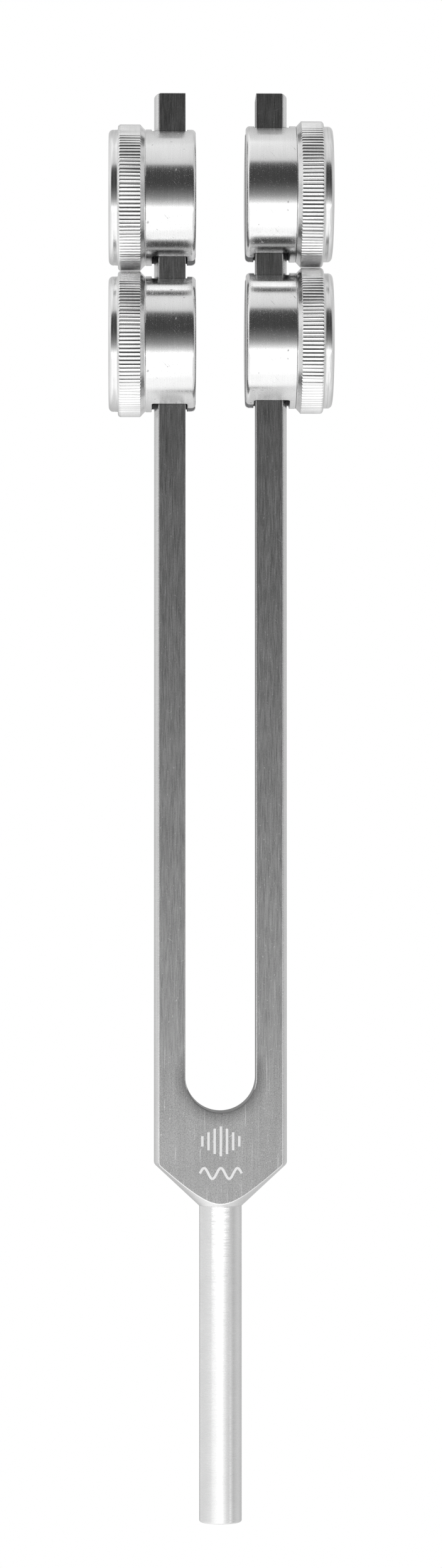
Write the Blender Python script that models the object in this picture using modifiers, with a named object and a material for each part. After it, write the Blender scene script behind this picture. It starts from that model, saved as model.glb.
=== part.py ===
"""Weighted tuning fork with four sliding clamp weights.

The fork is turned from a round bar, milled flat on the front and back, and slotted into two
tines. A plain round stem is pressed into the yoke. Each tine carries two weights. A weight is a
drum with a T-shaped slot that slides along the tine, and a knurled thumbscrew that clamps it:
the knob holds a threaded stud, and the stud pushes a loose pad against the round outer side of
the tine.

Units are metres. +Z runs from the end of the stem to the tops of the tines, the milled flats
face -Y and +Y, and the thumbscrews point to -X and +X. The origin is the centre of the stem's
flat end.
"""

import math

import bmesh
import bpy

# Fork
BAR_RADIUS = 0.0125
FORK_THICKNESS = 0.0091
TINE_GAP = 0.0132
FORK_TOP = 0.2683
TOP_CORNER = 0.00035
SLOT_BOTTOM = 0.0768
SHOULDER_TOP = 0.0671
SHOULDER_BOTTOM = 0.0592

# Stem
STEM_RADIUS = 0.0040
STEM_EDGE = 0.00035
TENON_RADIUS = 0.0025
TENON_LENGTH = 0.0120
TENON_CHAMFER = 0.0003

# Weights: heights of their axes
UPPER_HEIGHT = {"left": 0.24920, "right": 0.24990}
WEIGHT_PITCH = 0.02775

# Drum: every station is a distance from the fork's middle plane along the thumbscrew's axis
DRUM_RADIUS = 0.01278
DRUM_INNER_END = 0.00470
DRUM_CHAMFER = 0.00065
SEAM = 0.01415
BOSS_RADIUS = 0.0040
BOSS_END = 0.0182
SLOT_OUTER_WALL = 0.01295
SLIT_WIDTH = 0.0060

# Thumbscrew: knob, threaded stud and pad
KNURL_RADIUS = 0.01370
KNURL_START = 0.01515
KNURL_END = 0.01870
CAP_RADIUS = 0.01270
CAP_START = 0.01945
CAP_END = 0.02105
CAP_EDGE = 0.00060
STUD_RADIUS = 0.0025
STUD_TIP = 0.01460
STUD_END = 0.0200
STUD_CHAMFER = 0.0003
NOSE_RADIUS = 0.0010
NOSE_LENGTH = 0.0008
PAD_THICKNESS = 0.0015
PAD_CHAMFER = 0.0002

# Gap kept between pieces that touch
CLEARANCE = 0.0003

# Facets around a turned piece
BAR_FACETS = 48
STEM_FACETS = 32
SMALL_FACETS = 20
ARC_FACETS = 32

# How far a cutter runs past what it cuts
OVERSHOOT = 0.002
MERGE_DISTANCE = 0.00001

# Colour, roughness and metallic value of each finish
FINISHES = {
    "fork_aluminium": ((0.60, 0.60, 0.61), 0.34, 1.0),
    "stem_aluminium": ((0.80, 0.80, 0.81), 0.30, 1.0),
    "drum_aluminium": ((0.72, 0.72, 0.73), 0.20, 1.0),
    "knob_aluminium": ((0.76, 0.76, 0.77), 0.25, 1.0),
    "stud_steel": ((0.45, 0.46, 0.48), 0.30, 1.0),
    "pad_brass": ((0.72, 0.55, 0.25), 0.35, 1.0),
}


def clear_scene():
    """Remove every object that the file holds."""
    for thing in list(bpy.data.objects):
        bpy.data.objects.remove(thing, do_unlink=True)


def new_collection(name):
    """Make a collection in the scene."""
    group = bpy.data.collections.new(name)
    bpy.context.scene.collection.children.link(group)
    return group


def finish(name, owner):
    """Make the Principled material of one piece from a named finish."""
    colour, roughness, metallic = FINISHES[name]
    skin = bpy.data.materials.new(f"{owner}_{name}")
    skin.use_nodes = True
    shader = skin.node_tree.nodes["Principled BSDF"]
    shader.inputs["Base Color"].default_value = (*colour, 1.0)
    shader.inputs["Roughness"].default_value = roughness
    shader.inputs["Metallic"].default_value = metallic
    return skin


def turned_outline(name, outline):
    """Make a mesh of the open outline of a turned piece, as (radius, height) points."""
    mesh = bpy.data.meshes.new(name)
    sketch = bmesh.new()
    corners = [sketch.verts.new((radius, 0.0, height)) for radius, height in outline]
    for first, second in zip(corners, corners[1:]):
        sketch.edges.new((first, second))
    sketch.to_mesh(mesh)
    sketch.free()
    return mesh


def add_turning(piece, facets):
    """Turn a piece's outline about its own Z axis."""
    turning = piece.modifiers.new("Turning", "SCREW")
    turning.axis = "Z"
    turning.steps = facets
    turning.render_steps = facets
    turning.use_merge_vertices = True
    turning.merge_threshold = MERGE_DISTANCE
    turning.use_smooth_shade = False


def add_cut(piece, cutter, operation="DIFFERENCE"):
    """Cut a piece with another object, or keep only what they share."""
    cut = piece.modifiers.new(cutter.name, "BOOLEAN")
    cut.operation = operation
    cut.solver = "EXACT"
    cut.object = cutter


def place(piece, group, parent=None):
    """Link a piece to its collection and hang it on its parent."""
    group.objects.link(piece)
    piece.parent = parent


def hide_cutter(cutter):
    """Show a cutter as wires only and keep it out of renders."""
    cutter.display_type = "WIRE"
    cutter.hide_render = True


def box_cutter(name, low, high, group, parent=None):
    """Make a box-shaped cutter between two corners."""
    mesh = bpy.data.meshes.new(name)
    shape = bmesh.new()
    bmesh.ops.create_cube(shape, size=1.0)
    for corner in shape.verts:
        for axis in range(3):
            middle = (low[axis] + high[axis]) / 2
            corner.co[axis] = middle + corner.co[axis] * (high[axis] - low[axis])
    shape.to_mesh(mesh)
    shape.free()
    cutter = bpy.data.objects.new(name, mesh)
    place(cutter, group, parent)
    hide_cutter(cutter)
    return cutter


def round_cutter(name, radius, length, facets, group):
    """Make a round cutter along Z, centred on the origin."""
    mesh = bpy.data.meshes.new(name)
    shape = bmesh.new()
    bmesh.ops.create_cone(
        shape,
        cap_ends=True,
        segments=facets,
        radius1=radius,
        radius2=radius,
        depth=length,
    )
    shape.to_mesh(mesh)
    shape.free()
    cutter = bpy.data.objects.new(name, mesh)
    place(cutter, group)
    hide_cutter(cutter)
    return cutter


def baked_mesh(piece, name):
    """Give the mesh that a piece's modifiers make, so that copies can share it."""
    bpy.context.view_layer.update()
    graph = bpy.context.evaluated_depsgraph_get()
    mesh = bpy.data.meshes.new_from_object(piece.evaluated_get(graph))
    mesh.name = name
    return mesh


def shade_round(mesh):
    """Shade a turned piece smooth, with its real edges kept sharp."""
    mesh.shade_smooth()
    mesh.set_sharp_from_angle(angle=math.radians(30))


def make_fork_body(parts, cutters, frame):
    """Tines, yoke and shoulder: turned bar, milled flat, slotted and bored for the stem."""
    bore_radius = TENON_RADIUS + CLEARANCE
    bore_end = SHOULDER_BOTTOM + TENON_LENGTH + CLEARANCE
    outline = (
        (0.0, FORK_TOP),
        (BAR_RADIUS - TOP_CORNER, FORK_TOP),
        (BAR_RADIUS, FORK_TOP - TOP_CORNER),
        (BAR_RADIUS, SHOULDER_TOP),
        (STEM_RADIUS, SHOULDER_BOTTOM),
        (bore_radius, SHOULDER_BOTTOM),
        (bore_radius, bore_end),
        (0.0, bore_end),
    )
    body = bpy.data.objects.new("fork_body", turned_outline("fork_body", outline))
    place(body, parts, frame)
    body.data.materials.append(finish("fork_aluminium", "fork_body"))
    add_turning(body, BAR_FACETS)

    reach = BAR_RADIUS + OVERSHOOT
    half_thickness = FORK_THICKNESS / 2
    flats = box_cutter(
        "milled_flats",
        (-reach, -half_thickness, SHOULDER_BOTTOM - OVERSHOOT),
        (reach, half_thickness, FORK_TOP + OVERSHOOT),
        cutters,
        frame,
    )
    add_cut(body, flats, "INTERSECT")

    slot_radius = TINE_GAP / 2
    slot_centre = SLOT_BOTTOM + slot_radius
    straight_slot = box_cutter(
        "straight_slot",
        (-slot_radius, -reach, slot_centre),
        (slot_radius, reach, FORK_TOP + OVERSHOOT),
        cutters,
        frame,
    )
    add_cut(body, straight_slot)
    round_slot = round_cutter("round_slot", slot_radius, 2 * reach, ARC_FACETS, cutters)
    round_slot.rotation_euler = (math.radians(90), 0.0, 0.0)
    round_slot.location = (0.0, 0.0, slot_centre)
    round_slot.parent = frame
    add_cut(body, round_slot)
    return body


def make_stem(parts, frame):
    """Round stem with a tenon that is pressed into the yoke."""
    shoulder = SHOULDER_BOTTOM - CLEARANCE
    tenon_end = shoulder + TENON_LENGTH
    outline = (
        (0.0, tenon_end),
        (TENON_RADIUS - TENON_CHAMFER, tenon_end),
        (TENON_RADIUS, tenon_end - TENON_CHAMFER),
        (TENON_RADIUS, shoulder),
        (STEM_RADIUS, shoulder),
        (STEM_RADIUS, STEM_EDGE),
        (STEM_RADIUS - STEM_EDGE, 0.0),
        (0.0, 0.0),
    )
    stem = bpy.data.objects.new("stem", turned_outline("stem", outline))
    place(stem, parts, frame)
    stem.data.materials.append(finish("stem_aluminium", "stem"))
    add_turning(stem, STEM_FACETS)
    return stem


def drum_mesh(cutters):
    """Drum: turned disc with a threaded boss, T-slotted for the tine."""
    bore_radius = STUD_RADIUS + CLEARANCE
    half_gap = TINE_GAP / 2
    slot_inner_wall = half_gap - CLEARANCE
    bore_start = (slot_inner_wall + SLOT_OUTER_WALL) / 2
    drum_face = SEAM - CLEARANCE / 2
    outline = (
        (0.0, bore_start),
        (bore_radius, bore_start),
        (bore_radius, BOSS_END),
        (BOSS_RADIUS, BOSS_END),
        (BOSS_RADIUS, drum_face),
        (DRUM_RADIUS, drum_face),
        (DRUM_RADIUS, DRUM_INNER_END + DRUM_CHAMFER),
        (DRUM_RADIUS - DRUM_CHAMFER, DRUM_INNER_END),
        (0.0, DRUM_INNER_END),
    )
    blank = bpy.data.objects.new("drum_blank", turned_outline("drum_blank", outline))
    place(blank, cutters)
    hide_cutter(blank)
    add_turning(blank, BAR_FACETS)

    reach = DRUM_RADIUS + OVERSHOOT
    half_slot = FORK_THICKNESS / 2 + CLEARANCE
    tine_slot = box_cutter(
        "tine_slot",
        (-reach, -half_slot, slot_inner_wall),
        (reach, half_slot, SLOT_OUTER_WALL),
        cutters,
    )
    add_cut(blank, tine_slot)
    end_slit = box_cutter(
        "end_slit",
        (-reach, -SLIT_WIDTH / 2, DRUM_INNER_END - OVERSHOOT),
        (reach, SLIT_WIDTH / 2, bore_start),
        cutters,
    )
    add_cut(blank, end_slit)
    mesh = baked_mesh(blank, "drum")
    shade_round(mesh)
    return mesh


def turned_mesh(name, outline, facets, cutters):
    """Bake a turned piece that needs no cuts."""
    blank = bpy.data.objects.new(f"{name}_blank", turned_outline(f"{name}_blank", outline))
    place(blank, cutters)
    hide_cutter(blank)
    add_turning(blank, facets)
    mesh = baked_mesh(blank, name)
    shade_round(mesh)
    return mesh


def knob_mesh(cutters):
    """Knob: knurled ring and cap, counterbored over the boss and bored for the stud."""
    knob_face = SEAM + CLEARANCE / 2
    hollow_radius = BOSS_RADIUS + CLEARANCE
    hollow_end = BOSS_END + CLEARANCE
    bore_radius = STUD_RADIUS + CLEARANCE
    bore_end = STUD_END + CLEARANCE
    outline = (
        (0.0, CAP_END),
        (CAP_RADIUS - CAP_EDGE, CAP_END),
        (CAP_RADIUS, CAP_END - CAP_EDGE),
        (CAP_RADIUS, CAP_START),
        (KNURL_RADIUS, KNURL_END),
        (KNURL_RADIUS, KNURL_START),
        (DRUM_RADIUS, knob_face),
        (hollow_radius, knob_face),
        (hollow_radius, hollow_end),
        (bore_radius, hollow_end),
        (bore_radius, bore_end),
        (0.0, bore_end),
    )
    return turned_mesh("knob", outline, BAR_FACETS, cutters)


def stud_mesh(cutters):
    """Threaded stud with a plain nose that carries the pad."""
    nose_tip = STUD_TIP - NOSE_LENGTH
    outline = (
        (0.0, STUD_END),
        (STUD_RADIUS - STUD_CHAMFER, STUD_END),
        (STUD_RADIUS, STUD_END - STUD_CHAMFER),
        (STUD_RADIUS, STUD_TIP + STUD_CHAMFER),
        (STUD_RADIUS - STUD_CHAMFER, STUD_TIP),
        (NOSE_RADIUS, STUD_TIP),
        (NOSE_RADIUS, nose_tip),
        (0.0, nose_tip),
    )
    return turned_mesh("stud", outline, SMALL_FACETS, cutters)


def pad_mesh(cutters):
    """Loose pad with a socket for the stud's nose."""
    pad_back = STUD_TIP - CLEARANCE
    pad_face = pad_back - PAD_THICKNESS
    socket_radius = NOSE_RADIUS + CLEARANCE
    socket_end = STUD_TIP - NOSE_LENGTH - CLEARANCE
    outline = (
        (0.0, socket_end),
        (socket_radius, socket_end),
        (socket_radius, pad_back),
        (STUD_RADIUS, pad_back),
        (STUD_RADIUS, pad_face + PAD_CHAMFER),
        (STUD_RADIUS - PAD_CHAMFER, pad_face),
        (0.0, pad_face),
    )
    return turned_mesh("pad", outline, SMALL_FACETS, cutters)


def make_weight(name, side, height, meshes, parts, frame):
    """Place one weight's four pieces about the axis of its thumbscrew."""
    turn = 90 if side == "right" else -90
    axis = bpy.data.objects.new(f"{name}_axis", None)
    place(axis, parts, frame)
    axis.location = (0.0, 0.0, height)
    axis.rotation_euler = (0.0, math.radians(turn), 0.0)
    finishes = {
        "drum": "drum_aluminium",
        "knob": "knob_aluminium",
        "stud": "stud_steel",
        "pad": "pad_brass",
    }
    for kind, mesh in meshes.items():
        piece = bpy.data.objects.new(f"{name}_{kind}", mesh.copy())
        place(piece, parts, axis)
        piece.data.materials.clear()
        piece.data.materials.append(finish(finishes[kind], piece.name))


def main():
    """Build the fork and its four weights."""
    clear_scene()
    parts = new_collection("weighted_tuning_fork")
    cutters = new_collection("cutters")
    frame = bpy.data.objects.new("fork_frame", None)
    place(frame, parts)

    make_fork_body(parts, cutters, frame)
    make_stem(parts, frame)
    meshes = {
        "drum": drum_mesh(cutters),
        "knob": knob_mesh(cutters),
        "stud": stud_mesh(cutters),
        "pad": pad_mesh(cutters),
    }
    for side, upper in UPPER_HEIGHT.items():
        make_weight(f"{side}_upper", side, upper, meshes, parts, frame)
        make_weight(f"{side}_lower", side, upper - WEIGHT_PITCH, meshes, parts, frame)
    bpy.context.view_layer.update()


main()
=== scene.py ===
"""Looks of the weighted tuning fork.

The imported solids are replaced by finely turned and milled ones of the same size: a fork cut from
round bar, its stem, and four clamp weights with knurled thumbscrews. Lengths are in metres. The
frame is that of the solids: +Z up the tines, the milled flats facing -Y and +Y, and the
thumbscrews pointing to -X and +X.
"""

import math
import random

import bmesh
import bpy
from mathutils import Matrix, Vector


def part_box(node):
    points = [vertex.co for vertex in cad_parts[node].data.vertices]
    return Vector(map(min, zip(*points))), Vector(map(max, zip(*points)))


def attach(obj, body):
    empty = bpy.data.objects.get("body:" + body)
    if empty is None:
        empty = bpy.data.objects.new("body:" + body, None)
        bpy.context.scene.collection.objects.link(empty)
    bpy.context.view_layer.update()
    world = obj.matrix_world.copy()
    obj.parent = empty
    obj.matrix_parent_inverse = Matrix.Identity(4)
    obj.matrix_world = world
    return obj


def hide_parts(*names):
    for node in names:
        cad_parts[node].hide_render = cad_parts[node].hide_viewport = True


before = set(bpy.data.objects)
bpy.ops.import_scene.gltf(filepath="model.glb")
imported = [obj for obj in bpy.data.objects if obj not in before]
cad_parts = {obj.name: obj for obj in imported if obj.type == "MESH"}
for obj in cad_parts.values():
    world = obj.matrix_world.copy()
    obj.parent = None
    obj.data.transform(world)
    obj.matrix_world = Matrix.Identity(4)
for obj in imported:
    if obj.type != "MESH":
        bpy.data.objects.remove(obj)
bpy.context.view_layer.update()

MM = 0.001
CLEARANCE = 0.3 * MM

# Facets round a turned surface
BAR_FACETS = 240
STEM_FACETS = 128
ROUND_FACETS = 192
ARC_STEPS = 5
GAP_ARC_STEPS = 64

# Fork: what the solids' boxes don't say
TINE_GAP = 13.2 * MM
SLOT_BOTTOM = 76.8 * MM
SHOULDER_TOP = 67.1 * MM
SHOULDER_BOTTOM = 59.2 * MM
SHOULDER_ROUNDING = 1.0 * MM
TINE_TOP_ROUNDING = 0.35 * MM
FORK_EDGE = 0.13 * MM
JOINT_CHAMFER = 0.08 * MM
JOINT_LEDGE = 0.03 * MM

# Share of the bar's radius within which a face can be the gap's wall
GAP_WALL_REACH = 0.62

# Painted shade on the flats round the bottom of the gap, a darker band: its width and its
# brightness at the edge
GAP_SHADE_WIDTH = 2.4 * MM
GAP_SHADE = 0.42

# How much the grain's contrast is raised: the noise level below which it is at its darkest
GRAIN_LOW = 0.18

# Heights between which the flats' painted shading goes from darker to lighter
FLATS_DARKER = (100 * MM, 190 * MM)

# Mark on the yoke: a row of bars above a wave
MARK_STROKE = 0.46 * MM
MARK_DEPTH = 0.012 * MM
MARK_STEPS = 96
MARK_WAVES = 2.5
WAVE_PLACE = 65.5 * MM
WAVE_WIDTH = 7.8 * MM
WAVE_HEIGHT = 2.0 * MM
BARS_PLACE = 71.5 * MM
BARS_WIDTH = 6.9 * MM
BARS_HEIGHT = 5.6 * MM
BAR_HEIGHTS = (0.35, 0.6, 0.85, 1.0, 0.85, 0.6, 0.35)

# Stem
STEM_ROUNDING = 0.35 * MM
TENON_RADIUS = 2.5 * MM
TENON_LENGTH = 12.0 * MM
TENON_CHAMFER = 0.3 * MM

# Drum: stations are distances from the middle plane of the fork
DRUM_ROUNDING = 0.75 * MM
DRUM_EDGE = 0.13 * MM
DRUM_SEAM = 14.13 * MM
SEAM_EDGE = 0.10 * MM
SLOT_OUTER_WALL = 12.95 * MM
SLOT_FILLET = 0.45 * MM
SLIT_WIDTH = 6.0 * MM
BOSS_RADIUS = 4.0 * MM

# Knob
KNOB_FACE = 14.17 * MM
CONE_START = 14.30 * MM
CONE_STEPS = 8
KNURL_START = 15.15 * MM
KNURL_END = 18.75 * MM
RING_ROUNDING = 0.60 * MM
CAP_START = 19.25 * MM
CAP_FILLET = 0.30 * MM
CAP_GROOVE = 20.0 * MM
CAP_GROOVE_DEPTH = 0.06 * MM
CAP_ROUNDING = 0.85 * MM
CAP_RADIUS = 12.7 * MM
KNURL_TEETH = 112
KNURL_DEPTH = 0.22 * MM
KNURL_SHALLOWEST = 0.55
KNURL_POINTS = 8
KNURL_ROUNDNESS = 2.0

# Radii between which the painted shade in the knurl's grooves goes from dark to full brightness
KNURL_SHADE = (13.48 * MM, 13.53 * MM)

# Share of a normal along Y above which a face is one of the milled flats, and the angle in degrees
# within which two faces count as one
FLAT_NORMAL = 0.9999
COPLANAR_ANGLE = 0.05

# How far a cutter runs past what it cuts
OVERSHOOT = 2.0 * MM

WEIGHTS = ("left_upper", "left_lower", "right_upper", "right_lower")


# --- Shapes ---------------------------------------------------------------------------------


def arc(centre, radius, start, end, steps=ARC_STEPS):
    """Points along an arc between two angles in degrees, ends included."""
    points = []
    for step in range(steps + 1):
        angle = math.radians(start + (end - start) * step / steps)
        across, up = radius * math.cos(angle), radius * math.sin(angle)
        points.append((centre[0] + across, centre[1] + up))
    return points


def join_rings(shape, first, second):
    """Fill the band between two rings, either of which may be a single point."""
    count = max(len(first), len(second))
    for index in range(count):
        following = (index + 1) % count
        corners = [first[index % len(first)], first[following % len(first)]]
        corners += [second[following % len(second)], second[index % len(second)]]
        unique = list(dict.fromkeys(corners))
        shape.faces.new(unique)


def closed_mesh(name, shape):
    """Turn a closed shape into a mesh with its faces outwards."""
    bmesh.ops.recalc_face_normals(shape, faces=shape.faces)
    mesh = bpy.data.meshes.new(name)
    shape.to_mesh(mesh)
    shape.free()
    return mesh


def turned_mesh(name, outline, facets, axis="X", radius_at=None):
    """Turn (station, radius) points about an axis into a closed mesh, optionally shaping radii."""
    shape = bmesh.new()
    rings = []
    for station, radius in outline:
        ring = []
        for index in range(facets if radius > 0 else 1):
            angle = 2 * math.pi * index / facets
            reach = radius_at(index, radius) if radius_at and radius > 0 else radius
            across, up = reach * math.cos(angle), reach * math.sin(angle)
            spot = (station, across, up) if axis == "X" else (across, up, station)
            ring.append(shape.verts.new(spot))
        rings.append(ring)
    for first, second in zip(rings, rings[1:]):
        join_rings(shape, first, second)
    return closed_mesh(name, shape)


def prism_mesh(name, outline, depth, plane):
    """Extrude a closed outline by a depth to both sides of a plane, "XZ" or "XY"."""
    shape = bmesh.new()
    ends = []
    for side in (-depth, depth):
        ring = []
        for across, up in outline:
            spot = (across, side, up) if plane == "XZ" else (across, up, side)
            ring.append(shape.verts.new(spot))
        shape.faces.new(ring)
        ends.append(ring)
    join_rings(shape, *ends)
    return closed_mesh(name, shape)


def add_object(name, mesh, location=(0, 0, 0)):
    """Put a mesh in the scene."""
    thing = bpy.data.objects.new(name, mesh)
    thing.location = location
    bpy.context.scene.collection.objects.link(thing)
    return thing


def add_boolean(piece, cutter, operation):
    """Cut a piece with another object, or keep only what they share."""
    cut = piece.modifiers.new(cutter.name, "BOOLEAN")
    cut.operation = operation
    cut.solver = "EXACT"
    cut.object = cutter


def apply_modifiers(piece, cutters):
    """Turn what a piece's modifiers make into its own mesh, and remove its cutters."""
    bpy.context.view_layer.update()
    graph = bpy.context.evaluated_depsgraph_get()
    mesh = bpy.data.meshes.new_from_object(piece.evaluated_get(graph))
    piece.modifiers.clear()
    piece.data = mesh
    for cutter in cutters:
        bpy.data.objects.remove(cutter, do_unlink=True)


def merge_flat_faces(mesh):
    """Join coplanar faces, so that a large flat face shades as one."""
    shape = bmesh.new()
    shape.from_mesh(mesh)
    bmesh.ops.dissolve_limit(
        shape,
        angle_limit=math.radians(COPLANAR_ANGLE),
        verts=shape.verts,
        edges=shape.edges,
        delimit={"NORMAL"},
    )
    shape.to_mesh(mesh)
    shape.free()


def level_flat_faces(mesh):
    """Give the corners of the flat faces along Y the faces' own normals."""
    normals = [Vector(corner.vector) for corner in mesh.corner_normals]
    for face in mesh.polygons:
        if abs(face.normal.y) > FLAT_NORMAL:
            for corner in face.loop_indices:
                normals[corner] = face.normal.copy()
    mesh.normals_split_custom_set(normals)


def weigh_edges(mesh, weight_of, angle):
    """Give each sharp edge of a mesh its share of the full rounding."""
    shape = bmesh.new()
    shape.from_mesh(mesh)
    layer = shape.edges.layers.float.new("bevel_weight_edge")
    for edge in shape.edges:
        if edge.calc_face_angle(0.0) > math.radians(angle):
            edge[layer] = weight_of((edge.verts[0].co + edge.verts[1].co) / 2)
    shape.to_mesh(mesh)
    shape.free()


def round_edges(piece, width, segments=3, angle=28, weight_of=None):
    """Round the sharp edges of a piece and keep its flat faces flat."""
    piece.data.shade_smooth()
    rounding = piece.modifiers.new("Edges", "BEVEL")
    rounding.width = width
    rounding.segments = segments
    rounding.limit_method = "WEIGHT" if weight_of else "ANGLE"
    rounding.angle_limit = math.radians(angle)
    if weight_of:
        weigh_edges(piece.data, weight_of, angle)
    rounding.miter_outer = "MITER_ARC"
    rounding.use_clamp_overlap = False
    rounding.loop_slide = False
    rounding.harden_normals = True


def shade_turned(piece, angle=35):
    """Shade a turned piece smooth, with its crisp edges kept."""
    piece.data.shade_smooth()
    piece.data.set_sharp_from_angle(angle=math.radians(angle))


# --- Materials ------------------------------------------------------------------------------


# Levels between which a noise texture mostly stays
NOISE_LEVELS = (0.3, 0.7)

# Turn of the brushing, as a share of a whole one, that lays it round an axis
QUARTER_TURN = 0.25

# Radius at which the distance round a turned piece is true
NOMINAL_RADIUS = 12.5 * MM

# Slanted scratches on the flats: their angle and their scale along each axis
FLAT_SCRATCHES = ((52, (6500, 0, 330)), (-63, (5200, 0, 420)))


class Nodes:
    """A node tree and short ways to add to it."""

    def __init__(self, tree):
        self.tree = tree

    def add(self, kind, **settings):
        """Add a node, and set its named properties."""
        node = self.tree.nodes.new(kind)
        for name, value in settings.items():
            setattr(node, name, value)
        return node

    def link(self, source, target):
        """Join an output to an input."""
        self.tree.links.new(source, target)

    def math(self, operation, first, second=0.0):
        """Give the result of a sum on two outputs or numbers."""
        node = self.add("ShaderNodeMath", operation=operation)
        for value, target in zip((first, second), node.inputs):
            if isinstance(value, (int, float)):
                target.default_value = value
            else:
                self.link(value, target)
        return node.outputs["Value"]

    def stretched(self, source, scale):
        """Scale a texture position along each axis."""
        node = self.add("ShaderNodeVectorMath", operation="MULTIPLY")
        self.link(source, node.inputs[0])
        node.inputs[1].default_value = scale
        return node.outputs["Vector"]

    def parts(self, source):
        """Split a position into outputs named X, Y and Z."""
        node = self.add("ShaderNodeSeparateXYZ")
        self.link(source, node.inputs[0])
        return node.outputs

    def mixed(self, share, first, second):
        """Go from one value to another by a share."""
        node = self.add("ShaderNodeMix", data_type="FLOAT")
        self.link(share, node.inputs[0])
        self.link(first, node.inputs[2])
        self.link(second, node.inputs[3])
        return node.outputs[0]

    def rotated(self, source, axis, degrees):
        """Turn a texture position about an axis."""
        node = self.add("ShaderNodeVectorRotate", rotation_type=f"{axis}_AXIS")
        self.link(source, node.inputs["Vector"])
        node.inputs["Angle"].default_value = math.radians(degrees)
        return node.outputs["Vector"]

    def noise(self, source, scale, detail=2.0):
        """Give the height of a noise texture, scaled evenly or along each axis."""
        if isinstance(scale, tuple):
            source, scale = self.stretched(source, scale), 1.0
        node = self.add("ShaderNodeTexNoise")
        self.link(source, node.inputs["Vector"])
        node.inputs["Scale"].default_value = scale
        node.inputs["Detail"].default_value = detail
        return node.outputs["Fac"]

    def spread(self, source, low, high, start=0.0, end=1.0):
        """Map one range onto another, clamped."""
        node = self.add("ShaderNodeMapRange")
        self.link(source, node.inputs["Value"])
        limits = {"From Min": low, "From Max": high, "To Min": start, "To Max": end}
        for label, value in limits.items():
            node.inputs[label].default_value = value
        return node.outputs["Result"]

    def vary(self, noise, start, end):
        """Map the levels that a noise mostly has onto a range."""
        return self.spread(noise, *NOISE_LEVELS, start, end)

    def scaled(self, source, *factors):
        """Multiply a value by numbers or outputs."""
        for factor in factors:
            source = self.math("MULTIPLY", source, factor)
        return source

    def ramp(self, source, pairs, low, high):
        """Give the brightness between (place, brightness) pairs, from a source of 0 to 1."""
        node = self.add("ShaderNodeValToRGB")
        elements = node.color_ramp.elements
        while len(elements) > 1:
            elements.remove(elements[-1])
        for index, (place, brightness) in enumerate(pairs):
            share = (place - low) / (high - low)
            element = elements[0] if index == 0 else elements.new(share)
            element.position = share
            element.color = (brightness, brightness, brightness, 1.0)
        self.link(source, node.inputs["Fac"])
        return node.outputs["Color"]


class Surface(Nodes):
    """A Principled material and short ways to set what feeds its shader."""

    def __init__(self, name, colour, roughness, metallic=1.0):
        self.material = bpy.data.materials.new(name)
        self.material.use_nodes = True
        super().__init__(self.material.node_tree)
        self.shader = self.tree.nodes["Principled BSDF"]
        self.shader.inputs["Metallic"].default_value = metallic
        self.shader.inputs["Roughness"].default_value = roughness
        self.shader.inputs["Base Color"].default_value = (*colour, 1.0)
        self.place = self.add("ShaderNodeTexCoord").outputs["Object"]

    def grey(self, value):
        """Use a value as the base colour's brightness."""
        node = self.add("ShaderNodeCombineColor")
        for channel in node.inputs:
            self.link(value, channel)
        self.link(node.outputs["Color"], self.shader.inputs["Base Color"])

    def bump(self, height, distance, strength=1.0):
        """Raise the surface by a height output times a distance in metres."""
        node = self.add("ShaderNodeBump")
        node.inputs["Distance"].default_value = distance
        node.inputs["Strength"].default_value = strength
        self.link(height, node.inputs["Height"])
        self.link(node.outputs["Normal"], self.shader.inputs["Normal"])

    def anisotropy(self, amount, axis, turned):
        """Stretch highlights across the brushing, which runs round an axis or along it."""
        tangent = self.add("ShaderNodeTangent", direction_type="RADIAL", axis=axis)
        self.link(tangent.outputs["Tangent"], self.shader.inputs["Tangent"])
        self.shader.inputs["Anisotropic"].default_value = amount
        self.shader.inputs["Anisotropic Rotation"].default_value = QUARTER_TURN if turned else 0.0


def round_position(surface, axis):
    """Texture position of a turned piece: station along the axis, and distance round it."""
    parts = surface.parts(surface.place)
    around = {"X": ("Y", "Z"), "Z": ("X", "Y")}[axis]
    angle = surface.math("ARCTAN2", parts[around[1]], parts[around[0]])
    squares = [surface.math("POWER", parts[label], 2.0) for label in around]
    radius = surface.math("SQRT", surface.math("ADD", *squares))
    joined = surface.add("ShaderNodeCombineXYZ")
    surface.link(parts[axis], joined.inputs["X"])
    surface.link(surface.scaled(angle, NOMINAL_RADIUS), joined.inputs["Y"])
    surface.link(radius, joined.inputs["Z"])
    return joined.outputs["Vector"]


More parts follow.
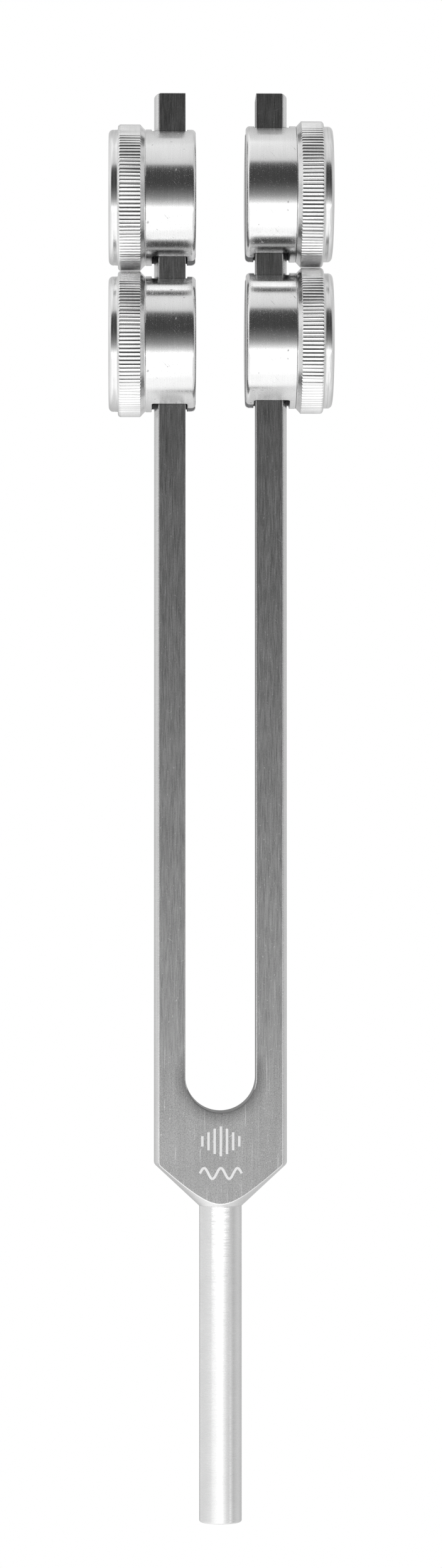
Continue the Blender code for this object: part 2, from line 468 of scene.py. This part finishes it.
def flats_material():
    """Milled flats: fine lengthwise brushing, grain, a few light nicks, painted shading that is
    darker low down, and painted shade round the bottom of the gap.
    """
    surface = Surface("brushed_flats", (0.43, 0.43, 0.43), 0.34)
    place = surface.place
    streaks = surface.noise(place, (8500, 8500, 300))
    bands = surface.noise(place, (1800, 1800, 35))
    grain = surface.noise(place, (7000, 7000, 4200), 1.0)
    grain = surface.spread(grain, GRAIN_LOW, 1 - GRAIN_LOW)
    clouds = surface.noise(place, 110.0)

    # The yoke is mostly grained, and the tines mostly brushed
    height = surface.parts(place)["Z"]
    grain_share = surface.spread(height, SLOT_BOTTOM, SLOT_BOTTOM + TINE_GAP, 0.80, 0.22)
    texture = surface.mixed(grain_share, streaks, grain)
    # Tone from the texture, bands and clouds, times painted shading that is darker low down and
    # lighter high up
    tone = surface.scaled(
        surface.vary(texture, 0.29, 0.57),
        surface.spread(height, *FLATS_DARKER, 0.78, 1.15),
        surface.vary(bands, 0.94, 1.06),
        surface.vary(clouds, 0.95, 1.05),
    )

    # Light marks: long and short ones along the brushing, and scratches across it
    long_marks = surface.spread(surface.noise(place, (5200, 5200, 150), 0.0), 0.75, 0.82)
    short_marks = surface.spread(surface.noise(place, (5600, 5600, 2600), 0.0), 0.78, 0.86)
    marks = surface.math("ADD", surface.scaled(long_marks, 0.16), surface.scaled(short_marks, 0.22))
    for degrees, scale in FLAT_SCRATCHES:
        slanted = surface.noise(surface.rotated(place, "Y", degrees), scale, 0.0)
        marks = surface.math("ADD", marks, surface.spread(slanted, 0.84, 0.88, 0.0, 0.35))

    # Painted shade: a darker band round the bottom of the gap
    centre = surface.add("ShaderNodeVectorMath", operation="SUBTRACT")
    surface.link(surface.stretched(place, (1, 0, 1)), centre.inputs[0])
    centre.inputs[1].default_value = (0, 0, SLOT_BOTTOM + TINE_GAP / 2)
    reach = surface.add("ShaderNodeVectorMath", operation="LENGTH")
    surface.link(centre.outputs["Vector"], reach.inputs[0])
    near, far = TINE_GAP / 2, TINE_GAP / 2 + GAP_SHADE_WIDTH
    shade = surface.spread(reach.outputs["Value"], near, far)
    shade = surface.spread(surface.math("POWER", shade, 0.6), 0.0, 1.0, GAP_SHADE, 1.0)
    surface.grey(surface.scaled(surface.math("ADD", tone, marks), shade))
    surface.link(surface.vary(texture, 0.28, 0.42), surface.shader.inputs["Roughness"])
    surface.bump(texture, 0.004 * MM, 0.6)
    surface.anisotropy(0.5, "Z", turned=False)
    return surface.material


def turned_material(
    name, tone, roughness, axis, ring_depth, amount=0.55, groove=None, specks=0.0, marks=0.02
):
    """Turned aluminium: fine and coarse rings, faint grain, specks, nicks and scratches, and
    painted shade in grooves when their radii are given.
    """
    surface = Surface(name, (tone, tone, tone), roughness)
    place = surface.place
    spot = round_position(surface, axis)
    rings = surface.noise(spot, (14000, 130, 6000))
    grain = surface.noise(place, (5000, 5000, 5000), 1.0)
    clouds = surface.noise(place, 160.0)
    texture = surface.math("ADD", surface.scaled(rings, 0.7), surface.scaled(grain, 0.3))
    shade = surface.vary(texture, tone - 0.06, tone + 0.06)
    shade = surface.scaled(shade, surface.vary(clouds, 0.97, 1.03))
    # Painted shade in the grooves: darker towards their bottoms
    if groove:
        radius = surface.parts(spot)["Z"]
        shade = surface.scaled(shade, surface.spread(radius, *groove, 0.4, 1.0))
    surface.grey(shade)

    rough = surface.vary(texture, roughness - 0.05, roughness + 0.06)
    coarse = surface.noise(spot, (5200, 90, 2600))
    rough = surface.math("ADD", rough, surface.vary(coarse, -marks, marks))
    if specks:
        pits = surface.noise(place, (5200, 5200, 5200), 1.0)
        nicks = surface.noise(place, (1500, 1500, 1500), 0.0)
        scratches = surface.noise(surface.rotated(spot, "Z", 38), (5000, 260, 0), 0.0)
        for noise, low, high, most in (
            (pits, 0.62, 0.74, specks),
            (nicks, 0.81, 0.84, 0.5),
            (scratches, 0.80, 0.85, 0.3),
        ):
            rough = surface.math("ADD", rough, surface.spread(noise, low, high, 0.0, most))
    surface.link(rough, surface.shader.inputs["Roughness"])
    surface.bump(texture, ring_depth, 0.6)
    surface.anisotropy(amount, axis, turned=True)
    return surface.material


def plain_metal(name, colour, roughness):
    """Small hidden parts: machined metal with fine grain."""
    surface = Surface(name, colour, roughness)
    grain = surface.noise(surface.place, 2500.0, 3.0)
    rough = surface.vary(grain, roughness - 0.08, roughness + 0.08)
    surface.link(rough, surface.shader.inputs["Roughness"])
    surface.bump(grain, 0.01 * MM, 0.5)
    return surface.material


def mark_material():
    """Laser-frosted mark: bright bare metal, nearly white."""
    surface = Surface("frosted_mark", (0.95, 0.95, 0.95), 0.5)
    grain = surface.noise(surface.place, (6000, 6000, 6000))
    surface.grey(surface.vary(grain, 0.93, 1.0))
    surface.bump(grain, 0.008 * MM, 0.6)
    return surface.material


MATERIALS = {
    "flats": flats_material(),
    "bar": turned_material("turned_bar", 0.88, 0.24, "Z", 0.003 * MM),
    # Walls of the gap: milled metal, with a dark tone that is painted shade
    "gap": turned_material("milled_gap_painted_shade", 0.30, 0.45, "Z", 0.003 * MM),
    "stem": turned_material("turned_stem", 0.90, 0.22, "Z", 0.006 * MM, 0.4, marks=0.11),
    "drum": turned_material("turned_drum", 0.91, 0.21, "X", 0.002 * MM, specks=0.22),
    "slot": plain_metal("milled_slot", (0.80, 0.80, 0.81), 0.35),
    "knob": turned_material("turned_knob", 0.90, 0.22, "X", 0.003 * MM),
    "knurl": turned_material("knurled_ring", 0.96, 0.20, "X", 0.002 * MM, 0.0, KNURL_SHADE),
    "stud": plain_metal("steel_stud", (0.50, 0.51, 0.53), 0.30),
    "pad": plain_metal("brass_pad", (0.78, 0.60, 0.30), 0.35),
    "mark": mark_material(),
}


def use_materials(piece, names, choose=None):
    """Give a piece its materials, and each face the one that a function chooses."""
    piece.data.materials.clear()
    for name in names:
        piece.data.materials.append(MATERIALS[name])
    for face in piece.data.polygons:
        face.material_index = names.index(choose(face)) if choose else 0


# --- Fork and stem --------------------------------------------------------------------------


def make_fork():
    """Fork body: turned bar with milled flats, a U-shaped gap and a bore for the tenon."""
    low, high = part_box("fork_body")
    bar_radius = high.x
    half_thickness = high.y
    stem_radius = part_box("stem")[1].x
    bore_radius = TENON_RADIUS + CLEARANCE
    bore_end = SHOULDER_BOTTOM + TENON_LENGTH + CLEARANCE
    slope = math.degrees(math.atan2(SHOULDER_TOP - SHOULDER_BOTTOM, bar_radius - stem_radius))
    tangent = SHOULDER_ROUNDING * math.tan(math.radians((90 - slope) / 2))
    corner = (SHOULDER_TOP + tangent, bar_radius - SHOULDER_ROUNDING)
    outline = [(bore_end, 0.0), (bore_end, bore_radius), (SHOULDER_BOTTOM, bore_radius)]
    outline += [(SHOULDER_BOTTOM, stem_radius + JOINT_LEDGE)]
    outline += [(SHOULDER_BOTTOM + JOINT_CHAMFER, stem_radius + JOINT_LEDGE + JOINT_CHAMFER)]
    outline += arc(corner, SHOULDER_ROUNDING, 90 + (90 - slope), 90)
    top = high.z - TINE_TOP_ROUNDING
    outline += arc((top, bar_radius - TINE_TOP_ROUNDING), TINE_TOP_ROUNDING, 90, 0)
    outline += [(high.z, 0.0)]
    body = add_object("fork_milled", turned_mesh("fork_milled", outline, BAR_FACETS, axis="Z"))

    reach = bar_radius + OVERSHOOT
    sides = [(-reach, 0.0), (reach, 0.0), (reach, high.z + OVERSHOOT), (-reach, high.z + OVERSHOOT)]
    flats = add_object("flats", prism_mesh("flats", sides, half_thickness, "XZ"))
    add_boolean(body, flats, "INTERSECT")
    radius = TINE_GAP / 2
    centre = SLOT_BOTTOM + radius
    gap_outline = [(radius, high.z + OVERSHOOT), (-radius, high.z + OVERSHOOT)]
    gap_outline += arc((0.0, centre), radius, 180, 360, GAP_ARC_STEPS)
    gap = add_object("gap", prism_mesh("gap", gap_outline, reach, "XZ"))
    add_boolean(body, gap, "DIFFERENCE")
    apply_modifiers(body, (flats, gap))
    merge_flat_faces(body.data)

    def surface_of(face):
        if abs(face.normal.y) > FLAT_NORMAL:
            return "flats"
        inside = math.hypot(face.center.x, face.center.y) < bar_radius * GAP_WALL_REACH
        return "gap" if inside and face.center.z > SLOT_BOTTOM - FORK_EDGE else "bar"

    def softness_of(spot):
        return 0.0 if spot.z < SHOULDER_BOTTOM + JOINT_CHAMFER * 1.5 else 1.0

    round_edges(body, FORK_EDGE, segments=4, weight_of=softness_of)
    apply_modifiers(body, ())
    level_flat_faces(body.data)
    use_materials(body, ["flats", "bar", "gap"], surface_of)
    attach(body, "fork")
    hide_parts("fork_body")


def ribbon_mesh(name, paths, half_width, depth):
    """Flat raised lines along paths in the XZ plane, as closed solids."""
    shape = bmesh.new()
    for path in paths:
        left, right = [], []
        for index, (across, up) in enumerate(path):
            before, after = path[max(index - 1, 0)], path[min(index + 1, len(path) - 1)]
            ahead = Vector((after[0] - before[0], after[1] - before[1])).normalized()
            for side, reach in ((left, half_width), (right, -half_width)):
                side.append((across - ahead.y * reach, up + ahead.x * reach))
        outline = left + right[::-1]
        count = len(path)
        ends = [[shape.verts.new((x, y, z)) for x, z in outline] for y in (-depth, depth)]
        for ring in ends:
            for step in range(count - 1):
                far = len(ring) - 1 - step
                shape.faces.new((ring[step], ring[step + 1], ring[far - 1], ring[far]))
        join_rings(shape, *ends)
    return closed_mesh(name, shape)


def make_mark():
    """Plain mark on the front of the yoke: a row of bars above a wave."""
    wave = []
    for step in range(MARK_STEPS + 1):
        share = step / MARK_STEPS
        height = math.sin(2 * math.pi * MARK_WAVES * share) * WAVE_HEIGHT / 2
        wave.append(((share - 0.5) * WAVE_WIDTH, WAVE_PLACE + height))
    bars = []
    for index, share in enumerate(BAR_HEIGHTS):
        across = (index / (len(BAR_HEIGHTS) - 1) - 0.5) * BARS_WIDTH
        reach = BARS_HEIGHT * share / 2
        bars.append([(across, BARS_PLACE - reach), (across, BARS_PLACE + reach)])
    mesh = ribbon_mesh("fork_mark", [wave, *bars], MARK_STROKE / 2, MARK_DEPTH)
    mark = add_object("fork_mark", mesh, (0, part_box("fork_body")[0].y, 0))
    use_materials(mark, ["mark"])
    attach(mark, "fork")


def make_stem():
    """Stem: round rod with a rounded end and a tenon."""
    low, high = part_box("stem")
    radius = high.x
    shoulder = SHOULDER_BOTTOM
    outline = [(low.z, 0.0)]
    outline += arc((low.z + STEM_ROUNDING, radius - STEM_ROUNDING), STEM_ROUNDING, 180, 90)
    outline += [(shoulder, radius), (shoulder, TENON_RADIUS)]
    outline += [(high.z - TENON_CHAMFER, TENON_RADIUS)]
    outline += [(high.z, TENON_RADIUS - TENON_CHAMFER), (high.z, 0.0)]
    stem = add_object("stem_turned", turned_mesh("stem_turned", outline, STEM_FACETS, axis="Z"))
    use_materials(stem, ["stem"])
    shade_turned(stem)
    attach(stem, "fork")
    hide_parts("stem")


# --- Weights --------------------------------------------------------------------------------


def weight_place(weight):
    """Side (-1 left, 1 right) and height of a weight's axis, read from its drum."""
    low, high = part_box(f"{weight}_drum")
    side = 1 if low.x > 0 else -1
    return side, (low.z + high.z) / 2


def stations(node, side):
    """Nearest and furthest station of a node, measured from the middle plane."""
    low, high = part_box(node)
    return (low.x, high.x) if side > 0 else (-high.x, -low.x)


def mirrored(points, side):
    """Put (station, value) points on a weight's own side."""
    return [(side * station, value) for station, value in points]


def make_drum(weight):
    """Drum: turned disc with a softened inner end, a threaded boss and a T-slot for the tine."""
    side, height = weight_place(weight)
    node = f"{weight}_drum"
    inner_end, boss_end = stations(node, side)
    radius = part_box(node)[1].z - height
    half_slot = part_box("fork_body")[1].y + CLEARANCE
    inner_wall = TINE_GAP / 2 - CLEARANCE
    middle = (inner_wall + SLOT_OUTER_WALL) / 2
    bore = TENON_RADIUS + CLEARANCE
    outline = [(middle, 0.0), (middle, bore), (boss_end, bore), (boss_end, BOSS_RADIUS)]
    outline += [(DRUM_SEAM, BOSS_RADIUS), (DRUM_SEAM, radius)]
    corner = (inner_end + DRUM_ROUNDING, radius - DRUM_ROUNDING)
    outline += arc(corner, DRUM_ROUNDING, 90, 180, steps=7) + [(inner_end, 0.0)]
    mesh = turned_mesh(node, mirrored(outline, side), ROUND_FACETS)
    drum = add_object(f"{node}_turned", mesh, (0, 0, height))

    past_end = inner_end - OVERSHOOT
    half_slit = SLIT_WIDTH / 2
    fillet = SLOT_FILLET
    slot = [(past_end, half_slit), (past_end, -half_slit), (inner_wall, -half_slit)]
    slot += arc((inner_wall + fillet, fillet - half_slot), fillet, 180, 270)
    slot += arc((SLOT_OUTER_WALL - fillet, fillet - half_slot), fillet, 270, 360)
    slot += arc((SLOT_OUTER_WALL - fillet, half_slot - fillet), fillet, 0, 90)
    slot += arc((inner_wall + fillet, half_slot - fillet), fillet, 90, 180)
    slot += [(inner_wall, half_slit)]
    mesh = prism_mesh("slot", mirrored(slot, side), radius + OVERSHOOT, "XY")
    cutter = add_object("slot", mesh, (0, 0, height))
    add_boolean(drum, cutter, "DIFFERENCE")
    apply_modifiers(drum, (cutter,))

    def surface_of(face):
        from_axis = math.hypot(face.center.y, face.center.z)
        along = inner_end < side * face.center.x < SLOT_OUTER_WALL + CLEARANCE / 3
        across = abs(face.center.y) < half_slot + CLEARANCE / 3
        return "slot" if along and across and from_axis < radius - CLEARANCE else "drum"

    use_materials(drum, ["drum", "slot"], surface_of)
    round_edges(drum, DRUM_EDGE)
    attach(drum, node)
    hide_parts(node)


def knurl_profile():
    """Depth of the knurl at each point round one tooth, as a share of its full depth."""
    points = KNURL_POINTS
    return [abs(2 * point / points - 1) ** KNURL_ROUNDNESS for point in range(points)]


def make_knob(weight):
    """Knob: cone, knurled ring and cap, counterbored over the drum's boss."""
    side, height = weight_place(weight)
    node = f"{weight}_knob"
    cap_end = stations(node, side)[1]
    ring_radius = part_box(node)[1].z - height
    drum_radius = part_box(f"{weight}_drum")[1].z - height
    boss_end = stations(f"{weight}_drum", side)[1]
    stud_end = stations(f"{weight}_stud", side)[1]
    bore = TENON_RADIUS + CLEARANCE
    hollow = BOSS_RADIUS + CLEARANCE
    groove = CAP_GROOVE_DEPTH
    outline = [(stud_end + CLEARANCE, 0.0), (stud_end + CLEARANCE, bore)]
    outline += [(boss_end + CLEARANCE, bore), (boss_end + CLEARANCE, hollow), (KNOB_FACE, hollow)]
    outline += [(KNOB_FACE, drum_radius - SEAM_EDGE)]
    corner = (KNOB_FACE + SEAM_EDGE, drum_radius - SEAM_EDGE)
    outline += arc(corner, SEAM_EDGE, 180, 90, steps=3)[1:]
    for step in range(CONE_STEPS + 1):
        share = step / CONE_STEPS
        station = CONE_START + (KNURL_START - CONE_START) * share
        outline += [(station, drum_radius + (ring_radius - drum_radius) * share)]
    outline += arc((KNURL_END, ring_radius - RING_ROUNDING), RING_ROUNDING, 90, 18, steps=9)
    corner = (CAP_START + CAP_FILLET, CAP_RADIUS + CAP_FILLET)
    outline += arc(corner, CAP_FILLET, 195, 270, steps=4)
    outline += [(CAP_GROOVE - groove, CAP_RADIUS), (CAP_GROOVE, CAP_RADIUS - groove)]
    outline += [(CAP_GROOVE + groove, CAP_RADIUS)]
    corner = (cap_end - CAP_ROUNDING, CAP_RADIUS - CAP_ROUNDING)
    outline += arc(corner, CAP_ROUNDING, 90, 0, steps=6) + [(cap_end, 0.0)]

    tooth = knurl_profile()
    uneven = random.Random(WEIGHTS.index(weight))
    depths = [KNURL_DEPTH * uneven.uniform(KNURL_SHALLOWEST, 1.0) for _ in range(KNURL_TEETH)]

    def knurled(index, radius):
        groove = (index + len(tooth) // 2) // len(tooth) % KNURL_TEETH
        return min(radius, ring_radius - depths[groove] * tooth[index % len(tooth)])

    mesh = turned_mesh(node, mirrored(outline, side), KNURL_TEETH * len(tooth), radius_at=knurled)
    knob = add_object(f"{node}_knurled", mesh, (0, 0, height))

    def surface_of(face):
        from_axis = math.hypot(face.center.y, face.center.z)
        between_ends = KNURL_START < side * face.center.x < KNURL_END
        return "knurl" if between_ends and from_axis > CAP_RADIUS else "knob"

    use_materials(knob, ["knob", "knurl"], surface_of)
    shade_turned(knob, 32)
    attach(knob, f"{weight}_thumbscrew")
    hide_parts(node)


# --- Stage, light and camera ----------------------------------------------------------------


FLOOR_REACH = 3.0
FLOOR_DROP = 0.2 * MM


def light_material(name, colour_of=None):
    """White light, or light of the colour that a function makes from the material's nodes."""
    material = bpy.data.materials.new(name)
    material.use_nodes = True
    nodes = Nodes(material.node_tree)
    nodes.tree.nodes.clear()
    light = nodes.add("ShaderNodeEmission")
    output = nodes.add("ShaderNodeOutputMaterial")
    nodes.link(light.outputs[0], output.inputs["Surface"])
    if colour_of:
        nodes.link(colour_of(nodes), light.inputs["Color"])
    return material


def make_floor():
    """Plain white floor that the camera sees and the metal doesn't."""
    mesh = bpy.data.meshes.new("floor")
    reach = FLOOR_REACH
    corners = [(-reach, -reach, 0), (reach, -reach, 0), (reach, reach, 0), (-reach, reach, 0)]
    mesh.from_pydata(corners, [], [(0, 1, 2, 3)])
    floor = add_object("floor", mesh, (0, 0, -FLOOR_DROP))
    floor.visible_glossy = False
    floor.visible_diffuse = False
    mesh.materials.append(light_material("white_floor"))


# Light that the metal sees. In front, beyond the card, it goes by elevation. At the sides and
# behind it is one brightness by elevation times another by bearing, which runs from behind (-180)
# through the left (-90), the camera (0) and the right (90) to behind again.
FRONT_LIGHT = (
    (-90, 1.08), (-60, 1.08), (-20, 1.1), (0, 0.45), (40, 0.60), (62, 0.70), (90, 0.78),
)
SIDE_RISE = (
    (-90, 1.40), (-70, 1.45), (-50, 1.25), (-30, 1.10), (-14, 1.0), (-9, 1.0), (9, 1.0),
    (14, 1.15), (40, 1.0), (60, 1.20), (90, 1.35),
)
SIDE_LIGHT = (
    (-180, 0.50), (-158, 0.54), (-137, 0.76), (-115, 0.74), (-80, 0.77), (-50, 0.86),
    (50, 0.60), (71, 0.51), (94, 0.60), (110, 0.64), (141, 0.54), (180, 0.60),
)

# Share that the sides' light has in its mix with the front's, by bearing
FRONT_ZONE = ((-60, 1.0), (-50, 0.6), (50, 0.0), (72, 1.0))

# Front card: its place along Y, its reach, and its brightness by height and by place along X
CARD_PLACE = -0.40
CARD_SIDE = 0.48
CARD_LOW = -0.60
CARD_HIGH = 0.695
CARD_BY_HEIGHT = (
    (-0.60, 1.35), (-0.07, 1.3), (-0.05, 1.15), (0.010, 1.25), (0.025, 3.1), (0.032, 3.1),
    (0.045, 1.75), (0.06, 1.2), (0.079, 1.0), (0.127, 0.57), (0.171, 0.30), (0.214, 0.20),
    (0.256, 0.13), (0.298, 0.08), (0.341, 0.052), (0.56, 0.05), (0.62, 0.08), (0.66, 0.16),
    (0.695, 0.32),
)
CARD_BY_SIDE = (
    (-0.48, 0.74), (-0.31, 0.81), (-0.20, 0.86), (-0.12, 0.93), (-0.03, 1.0), (0.05, 1.0),
    (0.107, 0.80), (0.255, 0.60), (0.48, 0.48),
)


def make_front_card():
    """Large card between the camera and the fork that only the metal sees, brightest low down."""
    mesh = bpy.data.meshes.new("front_card")
    corners = [(-CARD_SIDE, CARD_PLACE, CARD_LOW), (CARD_SIDE, CARD_PLACE, CARD_LOW)]
    corners += [(CARD_SIDE, CARD_PLACE, CARD_HIGH), (-CARD_SIDE, CARD_PLACE, CARD_HIGH)]
    mesh.from_pydata(corners, [], [(0, 1, 2, 3)])
    card = add_object("front_card", mesh)
    card.visible_camera = False

    def colour_of(nodes):
        parts = nodes.parts(nodes.add("ShaderNodeTexCoord").outputs["Object"])
        height = nodes.spread(parts["Z"], CARD_LOW, CARD_HIGH)
        aside = nodes.spread(parts["X"], -CARD_SIDE, CARD_SIDE)
        product = nodes.add("ShaderNodeVectorMath", operation="MULTIPLY")
        by_height = nodes.ramp(height, CARD_BY_HEIGHT, CARD_LOW, CARD_HIGH)
        nodes.link(by_height, product.inputs[0])
        nodes.link(nodes.ramp(aside, CARD_BY_SIDE, -CARD_SIDE, CARD_SIDE), product.inputs[1])
        return product.outputs[0]

    mesh.materials.append(light_material("front_card_light", colour_of))


def make_world():
    """Studio: white to the camera, and soft boxes and dark space to the metal."""
    world = bpy.data.worlds.new("studio")
    bpy.context.scene.world = world
    world.use_nodes = True
    nodes = Nodes(world.node_tree)
    nodes.tree.nodes.clear()
    parts = nodes.parts(nodes.add("ShaderNodeTexCoord").outputs["Generated"])
    rise = nodes.math("ARCSINE", parts["Z"])
    elevation = nodes.math("ADD", nodes.math("DIVIDE", rise, math.pi), 0.5)
    to_camera = nodes.math("MULTIPLY", parts["Y"], -1.0)
    turn = nodes.math("ARCTAN2", parts["X"], to_camera)
    bearing = nodes.math("ADD", nodes.math("DIVIDE", turn, 2 * math.pi), 0.5)

    front = nodes.ramp(elevation, FRONT_LIGHT, -90, 90)
    rise_share = nodes.ramp(elevation, SIDE_RISE, -90, 90)
    around = nodes.ramp(bearing, SIDE_LIGHT, -180, 180)
    to_side = nodes.ramp(bearing, FRONT_ZONE, -180, 180)
    side = nodes.math("MULTIPLY", rise_share, around)

    lit = nodes.add("ShaderNodeBackground")
    nodes.link(nodes.mixed(to_side, front, side), lit.inputs["Color"])
    backdrop = nodes.add("ShaderNodeBackground")
    backdrop.inputs["Color"].default_value = (1, 1, 1, 1)
    ray = nodes.add("ShaderNodeLightPath")
    chosen = nodes.add("ShaderNodeMixShader")
    output = nodes.add("ShaderNodeOutputWorld")
    nodes.link(ray.outputs["Is Camera Ray"], chosen.inputs[0])
    nodes.link(lit.outputs[0], chosen.inputs[1])
    nodes.link(backdrop.outputs[0], chosen.inputs[2])
    nodes.link(chosen.outputs[0], output.inputs["Surface"])


# Camera: its lens in millimetres, its distance and height, how far beside the fork's middle it
# looks, and its turn to the right and upwards in degrees
CAMERA_LENS = 95.8
CAMERA_DISTANCE = 0.786
CAMERA_HEIGHT = 0.1207
CAMERA_AIM = 0.11 * MM
CAMERA_BEARING = 1.0
CAMERA_TILT = 1.292


def make_camera():
    """Camera a little to the left and below the fork's middle, tilted up slightly."""
    lens = bpy.data.cameras.new("camera")
    lens.sensor_fit = "AUTO"
    lens.sensor_width = 36.0
    lens.lens = CAMERA_LENS
    camera = bpy.data.objects.new("camera", lens)
    bpy.context.scene.collection.objects.link(camera)
    bearing = math.radians(CAMERA_BEARING)
    tilt = math.radians(CAMERA_TILT)
    across, ahead = math.sin(bearing), math.cos(bearing)
    camera.location = (
        CAMERA_AIM - CAMERA_DISTANCE * across,
        -CAMERA_DISTANCE * ahead,
        CAMERA_HEIGHT,
    )
    view = Vector((across * math.cos(tilt), ahead * math.cos(tilt), math.sin(tilt)))
    camera.rotation_euler = view.to_track_quat("-Z", "Y").to_euler()
    lens.clip_start = 0.01
    lens.clip_end = 20.0
    bpy.context.scene.camera = camera
    bpy.context.scene.view_settings.view_transform = "Standard"


make_fork()
make_mark()
make_stem()
for weight_name in WEIGHTS:
    make_drum(weight_name)
    make_knob(weight_name)
    for kind in ("stud", "pad"):
        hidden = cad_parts[f"{weight_name}_{kind}"]
        hidden.data.materials.clear()
        hidden.data.materials.append(MATERIALS[kind])
make_floor()
make_front_card()
make_world()
make_camera()
